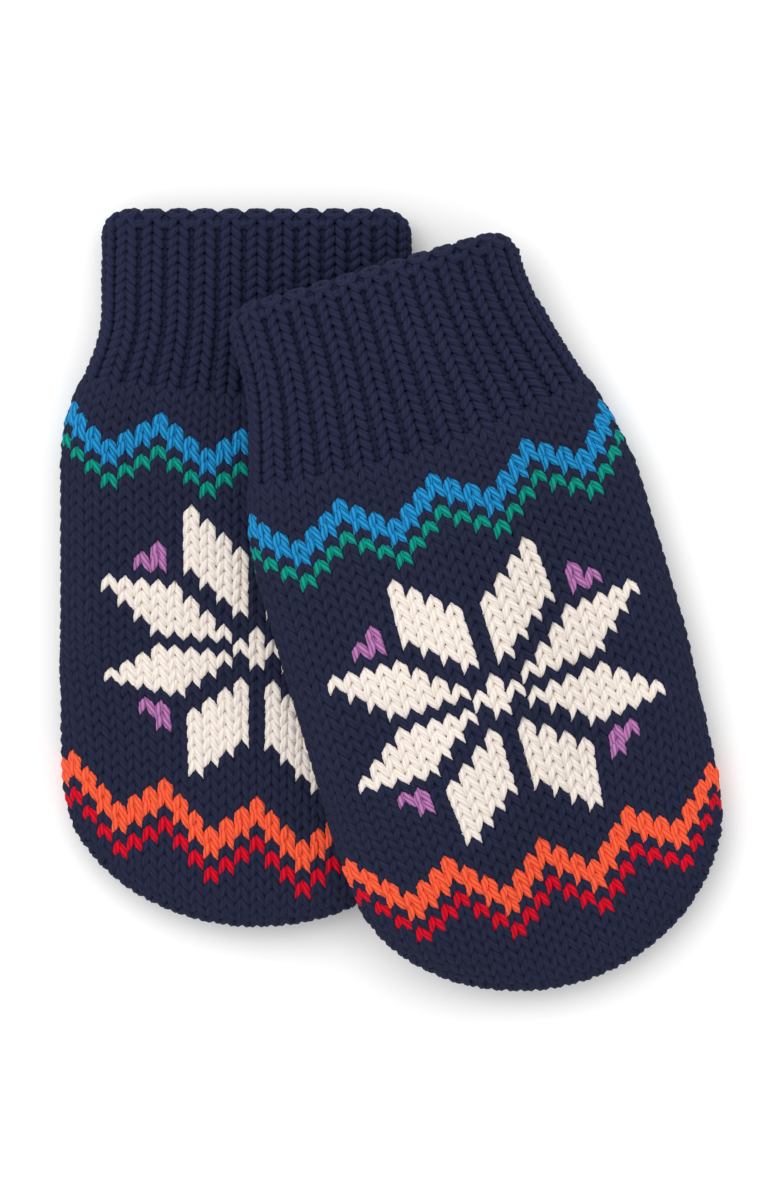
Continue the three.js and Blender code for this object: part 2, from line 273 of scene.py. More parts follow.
def stitch_point(m, column, row):
    """Flat position of a column and row, and how far it has rolled over the edge."""
    column, row = np.broadcast_arrays(np.asarray(column, float), np.asarray(row, float))
    body_row = np.maximum(row, LAST_BODY_ROW - 0.5)
    climb = up_the_cuff(row)
    rib = (row < LAST_BODY_ROW - 0.4).astype(float)
    end = row_height(LAST_BODY_ROW - 0.5)
    bow = BOW + m.bow[0] * np.maximum(0, -EVEN_ROWS - body_row)
    bow = bow + m.bow[1] * np.maximum(0, row - EVEN_ROWS)
    tilt = m.tilt[0] + (m.tilt[1] - m.tilt[0]) * smoothstep(row, *m.tilts)
    slant = (bow * (column / BOW_COLUMN) ** 2 - tilt * column) * (1 - np.clip(climb, 0, 1))
    pivot = m.cuff_top - EDGE_CREST - EDGE_ROLL
    y = row_height(body_row) + climb * (m.cuff_top - end)
    past = np.maximum(0, y - pivot)
    phi = np.minimum(past / EDGE_ROLL, math.pi)
    flat_y = np.where(past > 0, pivot + EDGE_ROLL * np.sin(phi), y) + slant
    flat_y = flat_y + SCALLOP * np.cos(math.pi * column) * smoothstep(climb, SCALLOPED_FROM, 1)
    flat_y = flat_y - corner_drop(column) * climb**3
    narrowing = 1 - m.narrows * smoothstep(-flat_y, *m.narrowing)
    spare = SPARE * (1 - (1 - EDGE_SPARE) * smoothstep(climb, 0, 1))
    wale = (half_width(m, column, flat_y) + spare) / HALF_WALES * narrowing
    swollen = column + RIB_SWELL * np.sin(math.pi * column) * rib
    swell = np.where(column < 0, m.left_side.swell, m.right_side.swell)
    swell = swell * (1 - smoothstep(np.abs(row), *SWELL_FADES))
    swell = swell * (1 - (column / HALF_WALES) ** 2)
    wale = wale * (1 + swell)
    inward = EDGE_ROLL * (1 - np.cos(phi))
    return swollen * wale, flat_y, inward


for m in MITTENS:
    cuff_edge = stitch_point(m, 0.0, LAST_BODY_ROW - RIB_ROWS)[1]
    print(m.name, "cuff's last row is", round(float(cuff_edge), 1), "mm above the snowflake's middle")


# %% [markdown]
# ## The colour chart
# The pattern is a chart with one square a stitch. The bands go up and down three rows
# in every six columns, and run right round the mitten. The snowflake has eight leaning
# petals, and it is on the front only.

# %% Colour chart
BANDS = {"blue": (-18, -17), "green": (-15,), "orange": (12, 13), "red": (15,)}  # rows at a peak
ACCENT = ((6, 6), (6, 7), (7, 6))


def zigzag(column):
    return 3 - abs(3 - (abs(column) % 6))


def snowflake(column, row):
    k, r = abs(column), abs(row)
    centre = (k == 0 and r <= 1) or (k == 1 and r == 0)
    level = 1 <= r <= 4 and r + 1 <= k <= r + 5
    upright = 1 <= k <= 4 and k + 2 <= r <= k + 6
    return centre or level or upright


def colour_at(column, row, face):
    """The yarn of one stitch of the hand."""
    step = row - zigzag(column)
    for yarn, rows in BANDS.items():
        if step in rows:
            return yarn
    if face > 0 and snowflake(column, row):
        return "cream"
    if face > 0 and (abs(column), abs(row)) in ACCENT:
        return "purple"
    return "navy"


for row in range(-11, 12, 11):
    print("".join(colour_at(c, row, 1)[0] for c in range(-12, 13)))


# %% [markdown]
# ## Guide lines
# One guide line follows each row as long as its colour lasts. Its points are half a
# stitch apart and carry what the nodes need: the column number, and three arrows that
# say which way the next column, the next row and the outside lie. The rows of the hand
# stop short of the tip's edge, where a chain of stitches runs round the tip beside the
# seam. It is one more guide line, so the tip's outline is as smooth as a cast-off edge.

# %% Guide lines
YARN_RADIUS = 0.80
LOOP_LIFT = 0.60         # how far a loop's legs stand in front of the row line
LINE_DEPTH = YARN_RADIUS + LOOP_LIFT
TUCK = 0.5               # extra depth at a line's two ends
SEAM_SWALLOW = 0.45      # share of a stitch that may lie past the seam
ROLLED_ROWS = 3          # rows that the rolled edge of the cuff takes
CHAIN_START = 0.36       # angle below the tip's centre at which the chain round the tip starts
CHAIN_INSET = 1.9        # from the seam to the chain's line
CHAIN_PITCH = 2.8        # length of one of its stitches
CHAIN_PROUD = 0.3        # how far it stands out of the fabric
CHAIN_RAYS = 200         # arrows that measure the length round the tip


class Guides:
    """Polylines with the arrows for each point, gathered for one mesh."""

    def __init__(self):
        self.points, self.columns, self.ribs = [], [], []
        self.across, self.along, self.out = [], [], []
        self.edges = []
        self.count = 0

    def add(self, points, columns, across, along, out, rib):
        n = len(points)
        self.edges += [(self.count + i, self.count + i + 1) for i in range(n - 1)]
        self.count += n
        for store, values in (
            (self.points, points), (self.columns, columns), (self.across, across),
            (self.along, along), (self.out, out), (self.ribs, np.full(n, rib)),
        ):
            store.append(values)

    def mesh(self, name):
        mesh = bpy.data.meshes.new(name)
        mesh.from_pydata(np.concatenate(self.points).tolist(), self.edges, [])
        for key, kind, store in (
            ("column", "FLOAT", self.columns), ("rib", "FLOAT", self.ribs),
            ("across", "FLOAT_VECTOR", self.across), ("along", "FLOAT_VECTOR", self.along),
            ("out", "FLOAT_VECTOR", self.out),
        ):
            values = np.concatenate(store).astype(np.float32)
            slot = "value" if kind == "FLOAT" else "vector"
            mesh.attributes.new(key, kind, "POINT").data.foreach_set(slot, values.ravel())
        return mesh


def add_row(guides, m, face, first, last, row, rib, place=stitch_point, proud=0.0):
    """A guide line for the stitches from column first to column last of a row."""
    columns = np.arange(first - 0.5, last + 0.51, 0.5)
    depth = np.full(len(columns), LINE_DEPTH - proud)
    depth[[0, -1]] += TUCK

    def at(dc, dr):
        x, y, inward = place(m, columns + dc, row + dr)
        return skin(m, face, x, y, depth + inward)

    across = (at(0.1, 0) - at(-0.1, 0)) / 0.2
    along = (at(0, 0.3) - at(0, -0.3)) / 0.6
    out = np.cross(along, across) * face
    out /= np.maximum(np.linalg.norm(out, axis=1, keepdims=True), 1e-9)
    guides.add(at(0, 0), columns, across, along, out, float(rib))


def widest_column(m, row, side):
    """The last column of a hand row, on one side, before the seam or the chain round the tip."""
    columns = np.arange(0, HALF_WALES + 1)
    x, y, _ = stitch_point(m, side * columns, row)
    reach, _, uy, edge = spread(m, x, y)
    past = reach - edge - SPARE
    inside = past < np.where(-uy > math.sin(CHAIN_START), -CHAIN_INSET, SEAM_SWALLOW * ROW)
    return int(columns[inside].max()) if inside.any() else -1


def chain_point(m, column, row):
    """Flat position on the chain of stitches that runs round the tip, beside the seam."""
    angle = np.linspace(math.pi, 2 * math.pi, CHAIN_RAYS)
    edge = spread(m, np.cos(angle), m.tip_centre + np.sin(angle))[3]
    steps = np.hypot(np.diff(edge * np.cos(angle)), np.diff(edge * np.sin(angle)))
    walked = np.concatenate([[0], np.cumsum(steps)])
    here = np.interp(walked[-1] / 2 + column * CHAIN_PITCH, walked, angle)
    _, ux, uy, edge = spread(m, np.cos(here), m.tip_centre + np.sin(here))
    reach = edge + SPARE - CHAIN_INSET + row * ROW
    return ux * reach, m.tip_centre + uy * reach, 0.0


def chain_columns(m):
    """Half the number of stitches in the chain."""
    across = (m.left_side.toe + m.right_side.toe) / 2
    around = math.pi * math.sqrt((across**2 + m.tip_depth**2) / 2)
    return round(around * (0.5 - CHAIN_START / math.pi) / CHAIN_PITCH)


def hand_guides(m, face):
    """Guide lines of the hand, one set for each yarn."""
    sets = {}
    row = LAST_BODY_ROW
    while min(widest_column(m, row, -1), widest_column(m, row, 1)) > 0:
        columns = list(range(-widest_column(m, row, -1), widest_column(m, row, 1) + 1))
        yarns = [colour_at(c, row, face) for c in columns]
        start = 0
        for i in range(1, len(columns) + 1):
            if i == len(columns) or yarns[i] != yarns[start]:
                guides = sets.setdefault(yarns[start], Guides())
                add_row(guides, m, face, columns[start], columns[i - 1], row, False)
                start = i
        row += 1
    chain = chain_columns(m)
    add_row(sets["navy"], m, face, -chain, chain, 0, False, chain_point, CHAIN_PROUD)
    return sets


def cuff_guides(m, face):
    guides = Guides()
    top_row = LAST_BODY_ROW - RIB_ROWS - 1
    for row in range(top_row, LAST_BODY_ROW):
        widest = HALF_WALES - 1 if row < top_row + ROLLED_ROWS else CUFF_WALES
        add_row(guides, m, face, -widest, widest, row, True)
    return guides


for m in MITTENS:
    print(m.name, "tip has a chain of", 2 * chain_columns(m) + 1, "stitches")


# %% [markdown]
# ## The node tree that knits
# The tree cuts each guide line finely and moves its points. With t running once round
# per stitch, a loop swings sideways with sin 2t, up and down with cos t, and in and out
# with cos 2t, so its two legs come to the front and its head and foot go behind the
# neighbouring rows. In a rib the in and out swing changes sign from column to column.
# A circle swept along the line makes the yarn. Two attributes go with it, the length
# along the yarn and the direction round it, for the material's twisted plies. Copies of
# one modelled stitch would also do for flat fabric, but they don't join up where the
# columns narrow or the fabric bends, and a line that is bent along its row always does.

# %% Small helpers for node trees
def add_node(tree, kind, inputs=None, **properties):
    node = tree.nodes.new(kind)
    for key, value in properties.items():
        setattr(node, key, value)
    for key, value in (inputs or {}).items():
        if isinstance(value, bpy.types.NodeSocket):
            tree.links.new(value, node.inputs[key])
        else:
            node.inputs[key].default_value = value
    return node


def maths(tree, operation, *values):
    node = add_node(tree, "ShaderNodeMath", dict(enumerate(values)), operation=operation)
    return node.outputs[0]


def scaled(tree, vector, factor):
    node = add_node(tree, "ShaderNodeVectorMath", {0: vector, "Scale": factor}, operation="SCALE")
    return node.outputs["Vector"]


def summed(tree, *vectors):
    total = vectors[0]
    for vector in vectors[1:]:
        total = add_node(tree, "ShaderNodeVectorMath", {0: total, 1: vector}).outputs["Vector"]
    return total


def named(tree, name, kind="FLOAT"):
    node = add_node(tree, "GeometryNodeInputNamedAttribute", {"Name": name}, data_type=kind)
    return node.outputs["Attribute"]


# %% Geometry nodes: the knit tree
UNEVEN_SCALE = 320.0     # how closely the yarn's small wanderings follow each other
NOISE_GAIN = 4.0         # noise strays by about a quarter, so this brings it to about one
SEED_STEP = 7.3          # how far apart two seeds lie in the noise


def knit_tree():
    tree = bpy.data.node_groups.new("Knit yarn", "GeometryNodeTree")
    face = tree.interface
    face.new_socket("Geometry", in_out="INPUT", socket_type="NodeSocketGeometry")
    for name, value in (
        ("Yarn radius", 0.0008), ("Loop height", 0.75), ("Leg lean", 0.25),
        ("Loop lift", 0.0006), ("Rib groove", 0.0013), ("Plumpness", 0.12),
        ("Unevenness", 0.0001),
    ):
        face.new_socket(name, in_out="INPUT", socket_type="NodeSocketFloat").default_value = value
    for name, value in (("Cuts", 5), ("Sides", 6), ("Seed", 1)):
        face.new_socket(name, in_out="INPUT", socket_type="NodeSocketInt").default_value = value
    face.new_socket("Material", in_out="INPUT", socket_type="NodeSocketMaterial")
    face.new_socket("Geometry", in_out="OUTPUT", socket_type="NodeSocketGeometry")
    given = tree.nodes.new("NodeGroupInput").outputs

    line = add_node(tree, "GeometryNodeMeshToCurve", {"Mesh": given["Geometry"]})
    fine = add_node(tree, "GeometryNodeSubdivideCurve", {
        "Curve": line.outputs[0], "Cuts": given["Cuts"],
    })

    column = named(tree, "column")
    turn = maths(tree, "MULTIPLY", maths(tree, "ADD", column, 0.5), 2 * math.pi)
    twice = maths(tree, "MULTIPLY", turn, 2.0)
    half = maths(tree, "MULTIPLY", column, math.pi)
    knit_or_purl = maths(tree, "COSINE", half)
    rib = named(tree, "rib")
    side = maths(tree, "MULTIPLY_ADD", rib, maths(tree, "SUBTRACT", knit_or_purl, 1.0), 1.0)
    forward = maths(tree, "MULTIPLY", maths(tree, "COSINE", twice), side)
    swing = maths(tree, "MULTIPLY", forward, -1.0)
    half_groove = maths(tree, "MULTIPLY", given["Rib groove"], 0.5)
    groove = maths(tree, "MULTIPLY", maths(tree, "SUBTRACT", side, 1.0), half_groove)
    lift = maths(tree, "MULTIPLY_ADD", swing, given["Loop lift"], groove)
    sideways = maths(tree, "MULTIPLY", maths(tree, "SINE", twice), given["Leg lean"])
    downward = maths(tree, "MULTIPLY", maths(tree, "COSINE", turn), given["Loop height"])
    upward = maths(tree, "MULTIPLY", downward, -1.0)

    noise = add_node(tree, "ShaderNodeTexNoise", {
        "Scale": UNEVEN_SCALE, "Detail": 1.0, "W": maths(tree, "MULTIPLY", given["Seed"], SEED_STEP),
    }, noise_dimensions="4D")
    shaken = summed(tree, noise.outputs["Color"], (-0.5, -0.5, -0.5))
    offset = summed(
        tree,
        scaled(tree, named(tree, "across", "FLOAT_VECTOR"), sideways),
        scaled(tree, named(tree, "along", "FLOAT_VECTOR"), upward),
        scaled(tree, named(tree, "out", "FLOAT_VECTOR"), lift),
        scaled(tree, shaken, maths(tree, "MULTIPLY", given["Unevenness"], NOISE_GAIN)),
    )
    bent = add_node(tree, "GeometryNodeSetPosition", {
        "Geometry": fine.outputs[0], "Offset": offset,
    })
    length = tree.nodes.new("GeometryNodeSplineParameter").outputs["Length"]
    measured = add_node(tree, "GeometryNodeStoreNamedAttribute", {
        "Geometry": bent.outputs[0], "Name": "yarn_length", "Value": length,
    }, data_type="FLOAT", domain="POINT")

    circle = add_node(tree, "GeometryNodeCurvePrimitiveCircle", {
        "Resolution": given["Sides"], "Radius": 1.0,
    })
    place = tree.nodes.new("GeometryNodeInputPosition").outputs[0]
    marked = add_node(tree, "GeometryNodeStoreNamedAttribute", {
        "Geometry": circle.outputs[0], "Name": "yarn_round", "Value": place,
    }, data_type="FLOAT_VECTOR", domain="POINT")
    thickness = maths(tree, "MULTIPLY_ADD", swing, given["Plumpness"], 1.0)
    yarn = add_node(tree, "GeometryNodeCurveToMesh", {
        "Curve": measured.outputs[0], "Profile Curve": marked.outputs[0],
        "Scale": maths(tree, "MULTIPLY", thickness, given["Yarn radius"]), "Fill Caps": True,
    })
    smooth = add_node(tree, "GeometryNodeSetShadeSmooth", {"Geometry": yarn.outputs[0]})
    real = add_node(tree, "GeometryNodeRealizeInstances", {"Geometry": smooth.outputs[0]})
    dyed = add_node(tree, "GeometryNodeSetMaterial", {
        "Geometry": real.outputs[0], "Material": given["Material"],
    })
    add_node(tree, "NodeGroupOutput", {"Geometry": dyed.outputs[0]})
    return tree


KNIT = knit_tree()
SOCKETS = {s.name: s.identifier for s in KNIT.interface.items_tree if s.in_out == "INPUT"}
print("knit tree:", len(KNIT.nodes), "nodes, inputs", sorted(SOCKETS))


# %% Run the tree and keep a plain mesh
def knit(name, guides, material, sizes):
    """Knits the guide lines with the tree and returns one plain mesh object."""
    holder = bpy.data.objects.new(name + "_guides", guides.mesh(name + "_guides"))
    bpy.context.scene.collection.objects.link(holder)
    modifier = holder.modifiers.new("Knit", "NODES")
    modifier.node_group = KNIT
    for key, value in {**sizes, "Material": material}.items():
        modifier[SOCKETS[key]] = value
    evaluated = holder.evaluated_get(bpy.context.evaluated_depsgraph_get())
    mesh = bpy.data.meshes.new_from_object(evaluated)
    mesh.name = name
    holder.modifiers.remove(modifier)
    bpy.data.objects.remove(holder)
    piece = bpy.data.objects.new(name, mesh)
    bpy.context.scene.collection.objects.link(piece)
    return piece


# %% [markdown]
# ## Cotton yarn
# The yarn is a soft plied cotton. One shader group draws what every colour shares: the
# plies twist round the yarn with painted shade in the grooves between them, fine fibres
# follow them, and the dye is a little uneven.
# Each material feeds in its own colour and adds the same soft, slightly hairy surface.
# Modelled plies would take five times the faces, and at this size shaded ones look alike.

# %% Shader group: plied yarn
PLY_FULLNESS = 0.8       # below one, the plies are fuller and the grooves between them narrower
FIBRES_ROUND = 3.0       # how fine the fibre pattern is round the yarn
FIBRES_ALONG = 420.0     # and along it
FIBRE_SCALE = 2.2
FIBRE_RELIEF = 0.35      # height of the fibres, where a ply's is one
DYE_SCALE = 90.0         # how closely lighter and darker patches of dye follow each other
DYE_SPREAD = 0.16        # how much they differ


def plied_yarn_group():
    tree = bpy.data.node_groups.new("Plied yarn", "ShaderNodeTree")
    face = tree.interface
    for name, kind, value in (
        ("Colour", "NodeSocketColor", (0.5, 0.5, 0.5, 1)), ("Plies", "NodeSocketFloat", 5.0),
        ("Twist", "NodeSocketFloat", 1600.0), ("Groove shade", "NodeSocketFloat", 0.75),
        ("Fibre shade", "NodeSocketFloat", 0.12),
    ):
        face.new_socket(name, in_out="INPUT", socket_type=kind).default_value = value
    face.new_socket("Colour", in_out="OUTPUT", socket_type="NodeSocketColor")
    face.new_socket("Height", in_out="OUTPUT", socket_type="NodeSocketFloat")
    given = tree.nodes.new("NodeGroupInput").outputs

    around = add_node(tree, "ShaderNodeAttribute", attribute_name="yarn_round").outputs["Vector"]
    length = add_node(tree, "ShaderNodeAttribute", attribute_name="yarn_length").outputs["Fac"]
    split = add_node(tree, "ShaderNodeSeparateXYZ", {"Vector": around}).outputs
    angle = maths(tree, "ARCTAN2", split["Y"], split["X"])
    twist = maths(tree, "MULTIPLY", length, given["Twist"])
    phase = maths(tree, "MULTIPLY_ADD", angle, maths(tree, "MULTIPLY", given["Plies"], 0.5), twist)
    ridge = maths(tree, "ABSOLUTE", maths(tree, "COSINE", phase))
    strand = maths(tree, "POWER", ridge, PLY_FULLNESS)

    turned = maths(tree, "DIVIDE", twist, maths(tree, "MULTIPLY", given["Plies"], 0.5))
    spun = maths(tree, "ADD", angle, turned)
    fibre_at = add_node(tree, "ShaderNodeCombineXYZ", {
        "X": maths(tree, "MULTIPLY", maths(tree, "COSINE", spun), FIBRES_ROUND),
        "Y": maths(tree, "MULTIPLY", maths(tree, "SINE", spun), FIBRES_ROUND),
        "Z": maths(tree, "MULTIPLY", length, FIBRES_ALONG),
    })
    fibre = add_node(tree, "ShaderNodeTexNoise", {
        "Vector": fibre_at.outputs[0], "Scale": FIBRE_SCALE, "Detail": 3.0, "Roughness": 0.65,
    }).outputs["Fac"]
    place = add_node(tree, "ShaderNodeTexCoord").outputs["Object"]
    dye = add_node(tree, "ShaderNodeTexNoise", {
        "Vector": place, "Scale": DYE_SCALE, "Detail": 2.0,
    }).outputs["Fac"]

    # the grooves between the plies are darkened in the colour: painted shade
    lighter = maths(tree, "SUBTRACT", 1.0, given["Groove shade"])
    groove = maths(tree, "MULTIPLY_ADD", strand, lighter, given["Groove shade"])
    contrast = maths(tree, "MULTIPLY", given["Fibre shade"], 2.0)
    grain = maths(tree, "MULTIPLY_ADD", maths(tree, "SUBTRACT", fibre, 0.5), contrast, 1.0)
    patch = maths(tree, "MULTIPLY_ADD", maths(tree, "SUBTRACT", dye, 0.5), DYE_SPREAD, 1.0)
    shade = maths(tree, "MULTIPLY", maths(tree, "MULTIPLY", groove, grain), patch)
    tint = scaled(tree, given["Colour"], shade)
    height = maths(tree, "MULTIPLY_ADD", fibre, FIBRE_RELIEF, strand)
    add_node(tree, "NodeGroupOutput", {"Colour": tint, "Height": height})
    return tree


PLIED = plied_yarn_group()
print("plied yarn group:", len(PLIED.nodes), "nodes")


# %% Yarn materials
BUMP_HEIGHT = 0.00018    # of a ply, in metres
SURFACE = {"Roughness": 0.85, "Specular IOR Level": 0.12, "Sheen Roughness": 0.45}


def linear(red, green, blue):
    """A colour given in 0 to 255 display values, as the linear values a shader takes."""
    def channel(v):
        v = v / 255
        return v / 12.92 if v <= 0.04045 else ((v + 0.055) / 1.055) ** 2.4
    return (channel(red), channel(green), channel(blue), 1.0)


def yarn_material(name, colour, groove_shade=0.78, fibre_shade=0.12, bump=0.5, sheen=0.0):
    material = bpy.data.materials.new(name)
    material.use_nodes = True
    tree = material.node_tree
    shader = tree.nodes["Principled BSDF"]
    group = add_node(tree, "ShaderNodeGroup", node_tree=PLIED)
    group.inputs["Colour"].default_value = linear(*colour)
    group.inputs["Groove shade"].default_value = groove_shade
    group.inputs["Fibre shade"].default_value = fibre_shade
    relief = add_node(tree, "ShaderNodeBump", {
        "Strength": bump, "Distance": BUMP_HEIGHT, "Height": group.outputs["Height"],
    })
    tree.links.new(group.outputs["Colour"], shader.inputs["Base Color"])
    tree.links.new(relief.outputs["Normal"], shader.inputs["Normal"])
    for key, value in {**SURFACE, "Sheen Weight": sheen}.items():
        shader.inputs[key].default_value = value
    return material


YARNS = {
    "navy": yarn_material("navy yarn", (34, 38, 62), groove_shade=0.7, fibre_shade=0.25),
    "rib": yarn_material("navy rib yarn", (35, 39, 65), groove_shade=0.7, fibre_shade=0.25),
    "seam": yarn_material("seam thread", (22, 24, 42)),
    # the ground sheet's colour, darker than the navy yarn, is painted shade between the loops
    "ground": yarn_material("ground of the fabric", (16, 18, 30)),
    "blue": yarn_material("sky blue yarn", (32, 145, 205), groove_shade=0.3, bump=1.0),
    "green": yarn_material("green yarn", (6, 150, 134), groove_shade=0.4, bump=1.0),
    "orange": yarn_material("orange yarn", (255, 97, 62), groove_shade=0.6, bump=1.0),
    "red": yarn_material("red yarn", (216, 8, 40), groove_shade=0.5, bump=1.0),
    "cream": yarn_material("cream yarn", (236, 226, 217), groove_shade=0.85, sheen=0.08),
    "purple": yarn_material("purple yarn", (186, 120, 180), groove_shade=0.4, bump=1.0),
}
print(len(YARNS), "yarn materials")


# %% [markdown]
# ## Knit the panels
# Each mitten has a front and a back, and each of those a cuff, a hand and its coloured
# patches. A piece stands for the CAD nodes that it replaces, which are then hidden. The
# bright yarns are a little thinner than the navy one but their loops stand taller, and
# the cream is thinner still, as its narrow loops show on the real fabric.

# %% Knit the panels
FACES = (("front", 1), ("back", -1))
LOOPS = {
    "Yarn radius": YARN_RADIUS * MM, "Loop height": 0.88, "Leg lean": 0.28,
    "Loop lift": LOOP_LIFT * MM, "Rib groove": RIB_GROOVE * MM, "Plumpness": 0.12,
    "Unevenness": 0.0001, "Cuts": 6, "Sides": 7,
}
CUFF = {"Loop height": 0.8}
BRIGHT = {"Yarn radius": 0.73 * MM, "Plumpness": 0.18, "Loop height": 1.05, "Leg lean": 0.24}
CREAM = {"Yarn radius": 0.68 * MM, "Plumpness": 0.2, "Loop height": 0.95}
BACK_CUTS = 5            # a back has more navy loops than a front, so its yarn is cut less finely


def replaced_nodes(m, side, yarn):
    """The CAD nodes that one yarn of a hand panel stands for."""
    if yarn == "navy":
        return [f"{m.name}_hand_{side}"]
    if yarn == "cream":
        return [f"{m.name}_snowflake_centre"] + [f"{m.name}_snowflake_petal_{n}" for n in range(1, 9)]
    if yarn == "purple":
        return [f"{m.name}_purple_accent_{n}" for n in range(1, 5)]
    return [f"{m.name}_{yarn}_zigzag_{side}"]


def finish_piece(piece, m, nodes):
    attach(piece, m.body)
    if nodes:
        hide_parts(*nodes)
    return piece


panels = {}
seed = 0
for m in MITTENS:
    for side, face in FACES:
        seed += 1
        sizes = {**LOOPS, **CUFF, "Seed": seed}
        cuff = knit(f"{m.name}_cuff_{side}_rib", cuff_guides(m, face), YARNS["rib"], sizes)
        finish_piece(cuff, m, [f"{m.name}_cuff_{side}"])
        panels[m.name, side] = [cuff]
        for yarn, guides in hand_guides(m, face).items():
            own = {"navy": {}, "cream": CREAM}.get(yarn, BRIGHT)
            sizes = {**LOOPS, **own, "Seed": seed}
            if side == "back":
                sizes["Cuts"] = BACK_CUTS
            piece = knit(f"{m.name}_{side}_{yarn}_stitches", guides, YARNS[yarn], sizes)
            finish_piece(piece, m, replaced_nodes(m, side, yarn))
            panels[m.name, side].append(piece)
        for piece in panels[m.name, side]:
            print(piece.name, len(piece.data.polygons) * 2, "triangles")


# %% [markdown]
# ## The seam
# The two panels are laced together edge to edge. The lacing is one thin yarn that
# crosses the groove between them at every row. It could be a row of small curves, but the
# same tree makes it, with a thinner yarn and lower loops on a guide line that runs round
# the outline.

# %% Lace the seams
SEAM_PITCH = 2.4         # length of one lacing loop
SEAM_DEPTH = 1.5         # of the lacing below the outline
SEAM_TOP = 4.0           # from the cuff's top to the lacing's ends
SEAM_RAYS = 60           # arrows that measure each side and the tip
LACING = {
    "Yarn radius": 0.4 * MM, "Loop height": 0.5, "Leg lean": 0.0, "Loop lift": 0.3 * MM, "Seed": 9,
}


def outline_rays(m, top, steps):
    """Arrows from the spine out to the seam, from the left of the cuff round to the right."""
    side_y = np.linspace(top, m.tip_centre, steps, endpoint=False)
    angle = np.linspace(math.pi, 2 * math.pi, steps)
    ux = np.concatenate([-np.ones(steps), np.cos(angle), np.ones(steps)])
    uy = np.concatenate([np.zeros(steps), np.sin(angle), np.zeros(steps)])
    y = np.concatenate([side_y, np.full(steps, m.tip_centre), side_y[::-1]])
    edge = spread(m, ux, y + uy)[3]
    return ux, uy, y, edge


def seam_guides(m):
    ux, uy, start, edge = outline_rays(m, m.cuff_top - SEAM_TOP, SEAM_RAYS)
    x, y = ux * edge, start + uy * edge
    steps = np.hypot(np.diff(x), np.diff(y))
    walked = np.concatenate([[0], np.cumsum(steps)])
    columns = np.arange(0.5, walked[-1] / SEAM_PITCH, 0.5)
    x = np.interp(columns * SEAM_PITCH, walked, x)
    y = np.interp(columns * SEAM_PITCH, walked, y)
    forward = np.stack([np.gradient(x), np.gradient(y)], axis=-1)
    forward /= np.linalg.norm(forward, axis=1, keepdims=True)
    outward = np.stack([forward[:, 1], -forward[:, 0]], axis=-1)
    x = x - outward[:, 0] * SEAM_DEPTH
    y = y - outward[:, 1] * SEAM_DEPTH
    z = HALF_HEIGHT + drape(m, x, y)
    px, py = to_shared_frame(m, x, y)
    points = np.stack([px, py, z], axis=-1) * MM
    c, s = math.cos(math.radians(m.turn)), math.sin(math.radians(m.turn))
    turned = np.array([[c, s, 0], [-s, c, 0], [0, 0, 1]])
    out = np.pad(outward, ((0, 0), (0, 1))) @ turned
    across = np.gradient(points, axis=0) * 2
    along = np.tile([0.0, 0.0, ROW * MM], (len(points), 1))
    guides = Guides()
    guides.add(points, columns, across, along, out, 0.0)
    return guides


for m in MITTENS:
    seam = knit(f"{m.name}_seam_lacing", seam_guides(m), YARNS["seam"], {**LOOPS, **LACING})
    finish_piece(seam, m, [f"{m.name}_side_seam"])
    print(seam.name, len(seam.data.polygons) * 2, "triangles")


# %% [markdown]
# ## The ground of the fabric
# Between its loops a real fabric shows more yarn and shadow, never daylight. A thin dark
# sheet in the middle of each panel stands for the yarn that the loops hide, and its colour,
# darker than that yarn, is painted shade. It is rolled round the rim by the same function
# as the stitches, so it never shows past them.

# %% Lay the ground sheets
GROUND_DEPTH = 2.0       # of its outer side in the hand, below the fabric's surface
GROUND_THICKNESS = 0.3
GROUND_TOP = 3.4         # from the cuff's top to the sheet's edge
GROUND_SINKS = (46, 52)  # heights between which it sinks to the cuff's grooves
GROUND_ROUNDS = 10.0     # length over which its corners bend down
RAYS, RINGS = 44, 22


def ground_points(m, face, depth):
    """A grid of points over one panel, from the seam in to the spine, and its flat outline."""
    top = m.cuff_top - GROUND_TOP
    ux, uy, start, edge = outline_rays(m, top, RAYS)
    share = np.linspace(1, 0, RINGS)[:, None]
    reach = share * (edge + SPARE - SEAM_TURN * RIM_ARC)
    drop = CORNER_SINKS * share**4 * smoothstep(start, top - GROUND_ROUNDS, top)
    x, y = ux * reach, start + uy * reach - drop
    sunk = smoothstep(y, *GROUND_SINKS) * RIB_GROOVE / 2
    return skin(m, face, x, y, depth + sunk), x[0], y[0]


def ground_sheet(m, side, face):
    outer, x, y = ground_points(m, face, GROUND_DEPTH)
    inner, _, _ = ground_points(m, face, GROUND_DEPTH + GROUND_THICKNESS)
    rings, rays = outer.shape[:2]
    points = np.concatenate([outer.reshape(-1, 3), inner.reshape(-1, 3)])

    layers = np.arange(len(points)).reshape(2, rings, rays)
    strips = [layers[0], layers[1], layers[:, 0], layers[:, :, 0], layers[:, :, -1]]
    faces = [
        [strip[i, j], strip[i, j + 1], strip[i + 1, j + 1], strip[i + 1, j]]
        for strip in strips
        for i in range(strip.shape[0] - 1)
        for j in range(strip.shape[1] - 1)
    ]
    mesh = bpy.data.meshes.new(f"{m.name}_{side}_ground")
    mesh.from_pydata(points.tolist(), [], np.array(faces).tolist())
    body = bmesh.new()
    body.from_mesh(mesh)
    bmesh.ops.remove_doubles(body, verts=body.verts, dist=1e-6)
    bmesh.ops.recalc_face_normals(body, faces=body.faces)
    body.to_mesh(mesh)
    body.free()
    mesh.materials.append(YARNS["ground"])
    sheet = bpy.data.objects.new(mesh.name, mesh)
    bpy.context.scene.collection.objects.link(sheet)
    area = 0.5 * abs(np.dot(x, np.roll(y, -1)) - np.dot(y, np.roll(x, -1))) * MM**2
    return finish_piece(sheet, m, []), (np.ptp(x) * MM, np.ptp(y) * MM), area


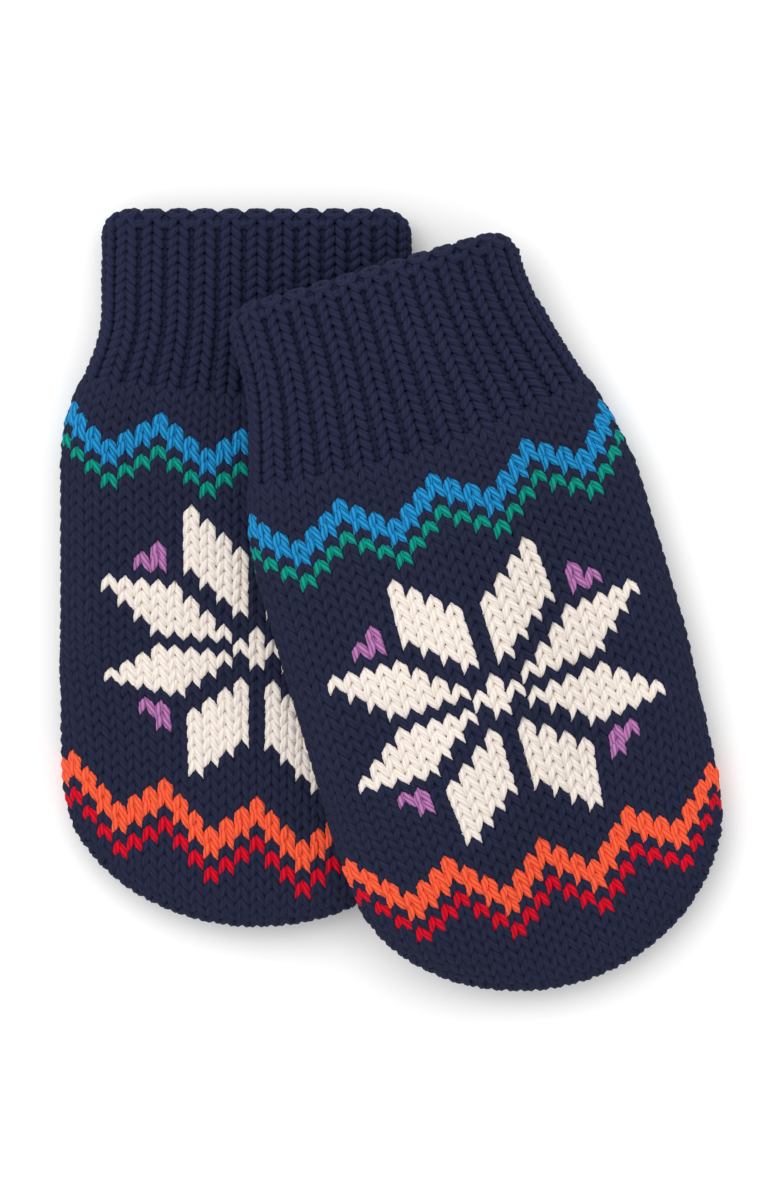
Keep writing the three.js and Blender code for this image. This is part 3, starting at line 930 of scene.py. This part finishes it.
for m in MITTENS:
    for side, face in reversed(FACES):
        sheet, flat, area = ground_sheet(m, side, face)
        print(sheet.name, "flat size", np.round(flat, 4), "m, area", round(float(area), 5), "m2")


# %% [markdown]
# ## Floor, light and camera
# The mittens lie on a white table under one large soft light. The camera looks straight
# down with a long lens, so the edges of the frame show no slant.

# %% Floor, light and camera
PICTURE_HEIGHT = 0.2272  # of what the picture shows at the mittens, in metres
CAMERA_HEIGHT = 1.5      # in metres, above the upper side of the lower mitten
PICTURE_OFFSET = (25.27, 9.69)  # of the picture's middle from the left snowflake's
FLOOR_HALF = 3.0

floor_mesh = bpy.data.meshes.new("floor")
floor_corners = [(x * FLOOR_HALF, y * FLOOR_HALF, 0) for x, y in ((-1, -1), (1, -1), (1, 1), (-1, 1))]
floor_mesh.from_pydata(floor_corners, [], [(0, 1, 2, 3)])
floor = bpy.data.objects.new("floor", floor_mesh)
bpy.context.scene.collection.objects.link(floor)
paper = bpy.data.materials.new("white paper")
paper.use_nodes = True
paper_shader = paper.node_tree.nodes["Principled BSDF"]
paper_shader.inputs["Base Color"].default_value = (0.98, 0.98, 0.98, 1)
paper_shader.inputs["Roughness"].default_value = 0.9
floor_mesh.materials.append(paper)

world = bpy.data.worlds.new("studio")
world.use_nodes = True
sky = world.node_tree.nodes["Background"]
sky.inputs["Color"].default_value = (1, 1, 1, 1)
sky.inputs["Strength"].default_value = 0.95
bpy.context.scene.world = world


def area_light(name, place, size, power):
    data = bpy.data.lights.new(name, "AREA")
    data.size = size
    data.energy = power
    light = bpy.data.objects.new(name, data)
    light.location = place
    light.rotation_euler = Vector(place).to_track_quat("Z", "Y").to_euler()
    bpy.context.scene.collection.objects.link(light)


area_light("key", place=(-0.4, 0.55, 1.2), size=1.2, power=8)

camera_data = bpy.data.cameras.new("camera")
camera_data.lens = camera_data.sensor_width * CAMERA_HEIGHT / PICTURE_HEIGHT
camera = bpy.data.objects.new("camera", camera_data)
camera.location = (*(LEFT.centre + PICTURE_OFFSET) * MM, CAMERA_HEIGHT + 2 * HALF_HEIGHT * MM)
bpy.context.scene.collection.objects.link(camera)
bpy.context.scene.camera = camera
bpy.context.scene.view_settings.view_transform = "Standard"
print("camera at", tuple(round(v, 4) for v in camera.location))
